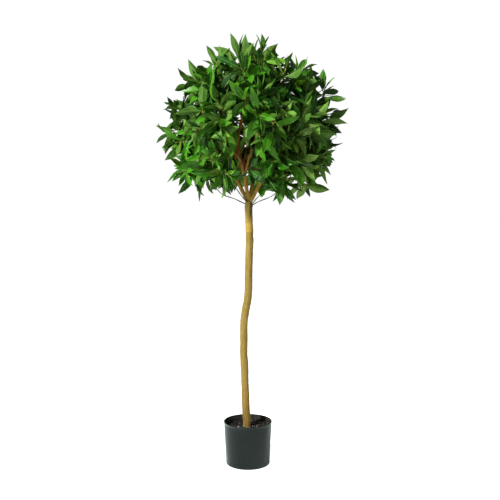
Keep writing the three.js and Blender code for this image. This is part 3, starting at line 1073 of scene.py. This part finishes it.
def placeSprays():
    look = sprayLook
    rng = np.random.default_rng(look["seed"] + 1)
    spots, normals, owners = openSamples()
    middle = (spots.min(axis=0) + spots.max(axis=0)) / 2
    massMiddles = np.array([spots[owners == i].mean(axis=0) for i in range(len(massNames))])
    reach = lengthOf(spots - massMiddles[owners])
    sprays = []
    for spacing, inset, outer in ((look["spacing"], look["inset"], True),
                                  (look["innerSpacing"], look["innerInset"], False)):
        for k in spreadOut(rng, spots, reach, spacing):
            out = unit(spots[k] - middle)
            full = np.interp(out[2], look["underside"], (look["undersideShare"], 1))
            if rng.random() > full:
                continue
            heading = unit(0.45 * normals[k] + 0.55 * out + rng.normal(0, look["stray"], 3)
                           + (0, 0, look["upward"]))
            foot = spots[k] - unit(0.5 * normals[k] + 0.5 * out) * rng.uniform(*inset)
            sprays.append({"foot": foot, "heading": heading, "mass": massNames[owners[k]], "outer": outer})
    return sprays


def frontView(points):
    # where points stand to someone facing the plant, as tangents of the angles across and up
    points = np.asarray(points) - cameraPlace
    return points[..., [0, 2]] / points[..., 1:2]


def clearingLine():
    limb = next(limb for limb in boughs if limb["name"] == sprayLook["clearing"])
    path = evenPath(limb["path"], 0.004)
    low, high = sprayLook["clearingHeights"]
    return path[(path[:, 2] > low) & (path[:, 2] < high)]


clearing = clearingLine()


def inClearing(base, along, length):
    # whether a leaf would hang in front of the bough that shows through the crown
    blade = base + along * length * np.linspace(0, 1, 5)[:, None]
    gaps = frontView(blade)[:, None] - frontView(clearing)[None]
    near = lengthOf(gaps) * cameraSetting["distance"] < sprayLook["clearingWidth"]
    return bool((near & (blade[:, None, 1] < clearing[None, :, 1])).any())


def leafFrame(heading, lean, turn, roll):
    # which way a leaf points and which way its upper side faces
    side = squareTo(heading)
    radial = math.cos(turn) * side + math.sin(turn) * np.cross(heading, side)
    sag = sprayLook["droop"] * math.sin(lean)
    along = unit(math.cos(lean) * heading + math.sin(lean) * radial + (0, 0, -sag))
    up = unit(heading - (heading @ along) * along) if lean > 0.05 else -radial
    up = math.cos(roll) * up + math.sin(roll) * np.cross(up, along)
    return along, unit(up - (up @ along) * along)


def crownOutline():
    offsets = np.cumsum([0] + [len(points) for points, _ in massSolids[:-1]])
    return searchTree(np.concatenate([points for points, _ in massSolids]),
                      np.concatenate([corners + by for (_, corners), by in zip(massSolids, offsets)]))


outline = crownOutline()


def keptLength(base, along, length):
    # leaves that would stand far out of the masses are shorter
    tip = Vector(base + along * length)
    spot, normal, _, gap = outline.find_nearest(tip)
    over = gap - sprayLook["overhang"] if (tip - spot).dot(normal) > 0 else 0
    return length - min(max(over, 0), 0.4 * length)


def sprayLeaves(rng, spray):
    look = sprayLook
    heading, foot, outer = spray["heading"], spray["foot"], spray["outer"]
    tints, shares = len(leafLook["fronts"]), leafLook["shares"]
    # sprays inside the crown all take the deep tint, as painted shade
    tint = rng.choice(tints, p=shares) if outer else 0
    young = outer and rng.random() < look["youngShare"]
    back = rng.integers(len(leafLook["backs"]))
    count = rng.integers(look["leaves"][0], look["leaves"][1] + 1)
    start = rng.uniform(0, 2 * math.pi)
    golden = math.pi * (3 - math.sqrt(5))
    leaves = []

    def addLeaf(base, along, up, length, own):
        length = keptLength(base, along, length)
        variant = rng.integers(len(leafForms))
        if not inClearing(base, along, length):
            leaves.append((base, along, up, length, variant, own, back))

    for j in range(count):
        age = j / (count - 1)
        lean = math.radians(np.interp(age ** 0.8, [0, 1], look["lean"]) + rng.normal(0, look["leanStray"]))
        length = np.interp(age ** 0.6, [0, 1], look["length"]) * rng.uniform(*look["lengthSpread"])
        turn = start + j * golden + rng.normal(0, look["turnStray"])
        along, up = leafFrame(heading, lean, turn, rng.normal(0, look["roll"]))
        own = tint
        if age < look["youngUntil"] and young:
            own = look["youngTints"][0 if rng.random() < 0.5 else 1]
        elif outer and rng.random() < look["oddShare"]:
            own = rng.choice(tints, p=shares)
        addLeaf(foot - heading * look["span"] * age, along, up, length, own)
    low, high = look["lowerReach"]
    for j in range(rng.integers(look["lower"][0], look["lower"][1] + 1)):
        lean = math.radians(rng.uniform(*look["lowerLean"]))
        turn = start + (count + j) * golden
        along, up = leafFrame(heading, lean, turn, rng.normal(0, look["lowerRoll"]))
        base = foot - heading * rng.uniform(low, high) * 0.9
        length = look["length"][1] * rng.uniform(*look["lowerSpread"])
        addLeaf(base, along, up, length, min(tint, look["lowerTint"]))
    return leaves


def budShape(spray):
    path = spray["foot"] + spray["heading"] * np.array([-0.004, 0.0, 0.003, 0.006, 0.008])[:, None]
    return tubeShape(ringsAlong(path, [0.0012, 0.0019, 0.0022, 0.0014, 0.0005], 6), stalkSlot)


def splitTips(rng, points):
    # two groups of twig ends, each nearer its own middle
    middles = points[rng.choice(len(points), 2, replace=False)]
    for _ in range(6):
        near = np.argmin(lengthOf(points[:, None] - middles[None]), axis=1)
        if near.min() == near.max():
            near[0] = 1 - near[0]
        middles = np.array([points[near == g].mean(axis=0) for g in (0, 1)])
    return near


def twigPath(start, heading, end, endHeading, pull, fewest):
    reach = np.linalg.norm(end - start)
    return bezier(start, start + heading * reach * 0.35, end - endHeading * reach * pull, end,
                  max(fewest, int(reach / twigLook["step"])))


def growTwigs(rng, start, heading, radius, sprays):
    # the path and radii of each twig from here to the sprays
    tip, growth = twigLook["tipRadius"], twigLook["growth"]
    if len(sprays) == 1:
        path = twigPath(start, heading, sprays[0]["foot"], sprays[0]["heading"], 0.4, 5)
        return [(path, np.linspace(min(radius, tip * 1.25), tip, len(path)))]
    points = np.array([s["foot"] - 0.05 * s["heading"] for s in sprays])
    goal = points.mean(axis=0)
    fork = start + (goal - start) * rng.uniform(*twigLook["forkShare"])
    fork = fork + rng.normal(0, twigLook["wander"], 3) * np.linalg.norm(goal - start)
    onward = unit(0.55 * unit(goal - start) + 0.45 * heading)
    path = twigPath(start, heading, fork, onward, 0.35, 4)
    own = tip * len(sprays) ** growth
    twigs = [(path, np.linspace(radius, own, len(path)))]
    near = splitTips(rng, points)
    for group in (0, 1):
        part = [s for s, g in zip(sprays, near) if g == group]
        twigs += growTwigs(rng, fork, onward, min(own, tip * len(part) ** growth * 1.1), part)
    return twigs


def twigShape(path, radii, slot=0):
    return tubeShape(ringsAlong(path, radii, twigLook["sides"]), slot)


def buildSprays(names, twigs, materials, leaves, sprays, masses):
    buildPiece(names[0], joinShapes(twigs), materials, masses)
    shape = joinShapes([leavesShape(leaves)] + [budShape(s) for s in sprays])
    buildPiece(names[1], shape, leafMaterials, masses, leafMap=True)


leafMaterials = makeLeafMaterials()
twigMaterials = [makeStalk(name, *bark) for name, bark in twigLook["barks"].items()]


def makeCrown():
    rng = np.random.default_rng(twigLook["seed"])
    sprays = placeSprays()
    print("sprays placed:", len(sprays))
    carriers = boughs + limbs + thinStems
    leafCount = 0
    for name, tree in zip(massNames, massTrees):
        gaps = [tree.find_nearest(Vector(limb["path"][-1]))[3] for limb in carriers]
        limb = carriers[int(np.argmin(gaps))]
        own = [s for s in sprays if s["mass"] == name]
        start, heading = limb["path"][-1], unit(limb["path"][-1] - limb["path"][-3])
        shapes = []
        for path, radii in growTwigs(rng, start - heading * 0.004, heading, limb["radii"][-1] * 0.9, own):
            slot = 0 if radii.max() < twigLook["woodFrom"] else int(rng.integers(1, 3))
            shapes.append(twigShape(path, radii, slot))
        leaves = [leaf for spray in own for leaf in sprayLeaves(rng, spray)]
        names = [name.replace("foliage", kind) for kind in ("twigs", "leaves")]
        buildSprays(names, shapes, twigMaterials, leaves, own, [name])
        leafCount += len(leaves)
    print("crown made:", leafCount, "leaves")


makeCrown()


# a few more sprays: some hang in front of the boughs, close above the fork, and some fill out one side

addedSprays = {
    "hanging": {
        "seed": 6,
        "count": 8,
        "aside": (-0.090, 0.085),        # places of their feet from the top of the stem, in metres
        "forward": (0.10, 0.17),
        "above": (0.055, 0.150),
        "spacing": 0.050,
        "downward": 0.30,
        "stray": 0.30,
        "carriers": ["bough_front_left", "limb_front", "limb_front_right"],
        "masses": ["foliage_low_front_left", "foliage_low_front_right"],
        "twigRadius": 0.0016,
    },
    "side": {
        "seed": 6,
        "count": 5,
        "aside": (0.225, 0.262),
        "forward": (-0.060, 0.090),
        "above": (0.125, 0.185),
        "spacing": 0.040,
        "downward": 0.10,
        "stray": 0.22,
        "carriers": ["bough_right", "limb_front_right"],
        "masses": ["foliage_right"],
        "twigRadius": 0.0016,
    },
}


def addedFeet(look, rng):
    low = stemLine[-1] + (look["aside"][0], -look["forward"][1], look["above"][0])
    high = stemLine[-1] + (look["aside"][1], -look["forward"][0], look["above"][1])
    feet = []
    for spot in rng.uniform(low, high, (300, 3)):
        if all(np.linalg.norm(spot - foot) > look["spacing"] for foot in feet):
            feet.append(spot)
    return feet[:look["count"]]


def makeAddedSprays(label, look):
    rng = np.random.default_rng(look["seed"])
    carriers = [limb["path"] for limb in boughs + limbs if limb["name"] in look["carriers"]]
    starts = np.concatenate([evenPath(path, 0.01) for path in carriers])
    leaves, shapes, sprays = [], [], []
    for foot in addedFeet(look, rng):
        away = unit((foot - stemLine[-1]) * (1, 1, 0))
        heading = unit(away - (0, 0, look["downward"]) + rng.normal(0, look["stray"], 3))
        spray = {"foot": foot, "heading": heading, "outer": True}
        start = starts[np.argmin(lengthOf(starts - foot - (0, 0, 0.05)))]
        twigs = growTwigs(rng, start, unit(foot - start), look["twigRadius"], [spray])
        shapes += [twigShape(path, radii) for path, radii in twigs]
        leaves += sprayLeaves(rng, spray)
        sprays.append(spray)
    names = [f"{label}_{kind}" for kind in ("twigs", "leaves")]
    buildSprays(names, shapes, twigMaterials[:1], leaves, sprays, look["masses"])
    print(label, "sprays made:", len(sprays), "with", len(leaves), "leaves")


for label, look in addedSprays.items():
    makeAddedSprays(label, look)


# the pot and what fills it

potLook = {
    "segments": 144,
    "wall": 0.0024,
    "lipHeight": 0.004,
    "lipStep": 0.0006,
    "footInset": 0.0054,
    "floor": 0.003,
    "recess": 0.0012,
    "outside": (0.0030, 0.0048, 0.0043),
    "outsideWorn": (0.0060, 0.0092, 0.0084),
    "inside": (0.011, 0.0115, 0.0095),
    "insideDust": (0.040, 0.037, 0.030),
    "sheen": (0.86, 1.0, 0.95),
    "roughness": 0.34,
    "gloss": 0.23,
    "bloom": 0.54,            # the pale sheen that plastic shows at a low angle
    "bloomSpread": 0.36,
    "bloomTint": (0.72, 1.0, 0.88),
    "sway": 0.0002,
}

fillLook = {
    "segments": 120,
    "ringCount": 34,
    "clear": 0.0006,
    "depth": 0.020,
    "hills": 0.0024,
    "hillScales": (60, 190),      # broad and fine ones for each metre
    "mound": 0.022,               # how far it is heaped up round the stem's foot
    "heap": (0.0050, 0.0025),     # how far it rises towards the right and the back
    "crumbs": 900,
    "crumbSize": (0.0010, 0.0036),
    "lumpiness": 0.35,
    "tones": {
        "dark": (0.013, 0.012, 0.009),
        "brown": (0.046, 0.041, 0.032),
        "pale": (0.42, 0.42, 0.34),
    },
    "paleShare": 0.035,
    "paleNearStem": 0.22,
    "paleReach": 0.034,
    "seed": 12,
}


def arc(middle, radius, first, last, count):
    angles = np.radians(np.linspace(first, last, count))
    return [(middle[0] + radius * math.cos(a), middle[1] + radius * math.sin(a)) for a in angles]


def makeSpeckled(name, dark, light, roughness, gloss, fine, broad, strength, distance):
    # one colour clouded with another, over a fine grain
    material, tree, shader = newMaterial(name, roughness, gloss)
    grain = placeGroup(tree, speckle, ownPlace(tree), Fine=fine, Broad=broad)
    coat(tree, shader, mixColor(tree, grain["Cloud"], dark, light), grain["Grain"], strength, distance)
    return material, tree, shader, grain["Cloud"]


def makePotPlastic():
    look = potLook
    rough = look["roughness"]
    material, tree, shader, cloud = makeSpeckled(
        "pot_plastic", look["outside"], look["outsideWorn"], rough, look["gloss"],
        fine=1400.0, broad=11.0, strength=0.2, distance=0.0003,
    )
    joinAll(tree, shader.inputs, {
        "Roughness": between(tree, cloud, rough - 0.04, rough + 0.07),
        "Specular Tint": look["sheen"],
        "Sheen Weight": look["bloom"],
        "Sheen Roughness": look["bloomSpread"],
        "Sheen Tint": look["bloomTint"],
    })
    return material


def makePotInside():
    return makeSpeckled("pot_inside", potLook["inside"], potLook["insideDust"], 0.7, 0.2,
                        fine=700.0, broad=75.0, strength=0.3, distance=0.0005)[0]


def makePot():
    look = potLook
    low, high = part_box("pot")
    rim, top = (high.x - low.x) / 2, high.z
    middleX, middleY = (high.x + low.x) / 2, (high.y + low.y) / 2
    points, _ = solidOf("pot")
    belowLip = top - look["lipHeight"]
    wallRadii = lengthOf(points[:, :2] - (middleX, middleY))
    foot = wallRadii[points[:, 2] < 0.012].max()
    edge = look["footInset"]
    lipRadius = look["wall"] / 2
    outline = [(0.0005, look["recess"]), (foot - 2.4 * edge, look["recess"]), (foot - 2.1 * edge, 0.0)]
    outline += arc((foot - edge, edge), edge, -90, 0, 9)
    outline += [(foot + (rim - foot) * s - look["lipStep"], edge + (belowLip - edge) * s)
                for s in np.linspace(0.04, 1, 24)]
    outline += arc((rim - look["lipStep"], belowLip + look["lipStep"]), look["lipStep"], -60, 0, 4)
    outline += arc((rim - lipRadius, top - lipRadius), lipRadius, 0, 180, 11)
    inner = rim - look["wall"]
    outline += [(inner - (rim - foot) * (1 - s), look["floor"] + (top - 2 * lipRadius - look["floor"]) * s)
                for s in np.linspace(0.97, 0, 18)]
    outline += [(0.0005, look["floor"])]
    shape = turnedShape(outline, look["segments"])
    points = shape["points"]
    points += (middleX, middleY, 0)
    angles = np.arctan2(points[:, 1], points[:, 0])
    sway = look["sway"] * softNoise(np.stack([np.cos(angles), np.sin(angles), points[:, 2] * 3], axis=1), 6)
    points[:, :2] *= (1 + sway / rim)[:, None]     # thin plastic is never quite round
    centres = points[shape["quads"]].mean(axis=1)
    spans = lengthOf(centres[:, :2] - (middleX, middleY))
    wallSpans = foot + (rim - foot) * centres[:, 2] / top
    within = (spans < wallSpans - look["wall"] * 0.7) & (centres[:, 2] > look["floor"] * 0.9)
    shape["quadSlots"] = within.astype(int)
    buildPiece("pot_shell", shape, [makePotPlastic(), makePotInside()], ["pot"])


def makeCrumbMaterial(name, color):
    return makeSpeckled(f"fill_{name}", shaded(color, 0.5), color, 0.9, 0.2,
                        fine=500.0, broad=70.0, strength=0.6, distance=0.001)[0]


def flatNoise(xy, scale, seed):
    return softNoise(np.c_[xy * scale, np.zeros(len(xy))], seed)


def makeFill():
    look = fillLook
    rng = np.random.default_rng(look["seed"])
    low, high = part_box("fill")
    middle = np.array([(low.x + high.x) / 2, (low.y + high.y) / 2])
    radius = (high.x - low.x) / 2 - look["clear"]
    top = high.z - 0.001

    def nearStem(xy, reach):
        return np.exp(-(lengthOf(xy - stemLine[0, :2]) / reach) ** 2)

    def heightAt(xy):
        broad, fine = look["hillScales"]
        hills = flatNoise(xy, broad, 8) + 0.5 * flatNoise(xy, fine, 9)
        near = nearStem(xy, look["mound"])
        heap = (xy - middle) @ np.array(look["heap"]) / radius
        return top + look["hills"] * (hills * (1 - near) + 1.1 * near) + heap * (1 - near)

    angles = circle(look["segments"])
    around = np.stack([np.cos(angles), np.sin(angles)], axis=1)
    flats = [middle + span * around for span in radius * np.linspace(1, 0.02, look["ringCount"])]
    rings = [np.c_[xy, heightAt(xy)] for xy in flats]
    skirt = rings[0].copy()
    skirt[:, 2] = top - look["depth"]
    shapes = [tubeShape(np.array([skirt] + rings))]
    ballLine = np.array([[0, 0, z] for z in (-0.8, -0.3, 0.3, 0.8)])
    ball = tubeShape(ringsAlong(ballLine, [0.6, 1.0, 1.0, 0.55], 7))
    for _ in range(look["crumbs"]):
        span, turn = radius * math.sqrt(rng.random()) * 0.97, rng.uniform(0, 2 * math.pi)
        xy = middle + span * np.array([math.cos(turn), math.sin(turn)])
        size = rng.uniform(*look["crumbSize"])
        near = nearStem(xy[None], look["paleReach"])[0]
        pale = rng.random() < look["paleShare"] + look["paleNearStem"] * near
        lumps = softNoise(ball["points"] * 1.7 + rng.uniform(0, 90, 3))
        lumpy = ball["points"] * (1 + look["lumpiness"] * lumps)[:, None]
        spin = np.linalg.qr(rng.normal(size=(3, 3)))[0]
        spin *= np.sign(np.linalg.det(spin))
        squash = size * rng.uniform(0.5, 1.1, 3)
        points = (lumpy * squash) @ spin + (*xy, heightAt(xy[None])[0] + size * 0.25)
        shapes.append(plainShape(points, ball["quads"], ball["tris"], 2 if pale else int(rng.integers(0, 2))))
    materials = [makeCrumbMaterial(name, color) for name, color in look["tones"].items()]
    buildPiece("fill_crumbs", joinShapes(shapes), materials, ["fill"])


makePot()
makeFill()
print("pot and filling made")


def makeFloor():
    material, tree, shader = newMaterial("floor_paint", 0.9, 0.1, studio["floorColor"])
    glow = times(tree, seenByCamera(tree), studio["floorGlow"])
    joinAll(tree, shader.inputs, {"Emission Color": (1, 1, 1), "Emission Strength": glow})
    half = studio["floorSize"] / 2
    corners = [(x * half, y * half, -studio["floorDrop"]) for x, y in ((-1, -1), (1, -1), (1, 1), (-1, 1))]
    mesh = bpy.data.meshes.new("floor")
    mesh.from_pydata(corners, [], [(0, 1, 2, 3)])
    mesh.materials.append(material)
    addObject("floor", mesh)


makeFloor()
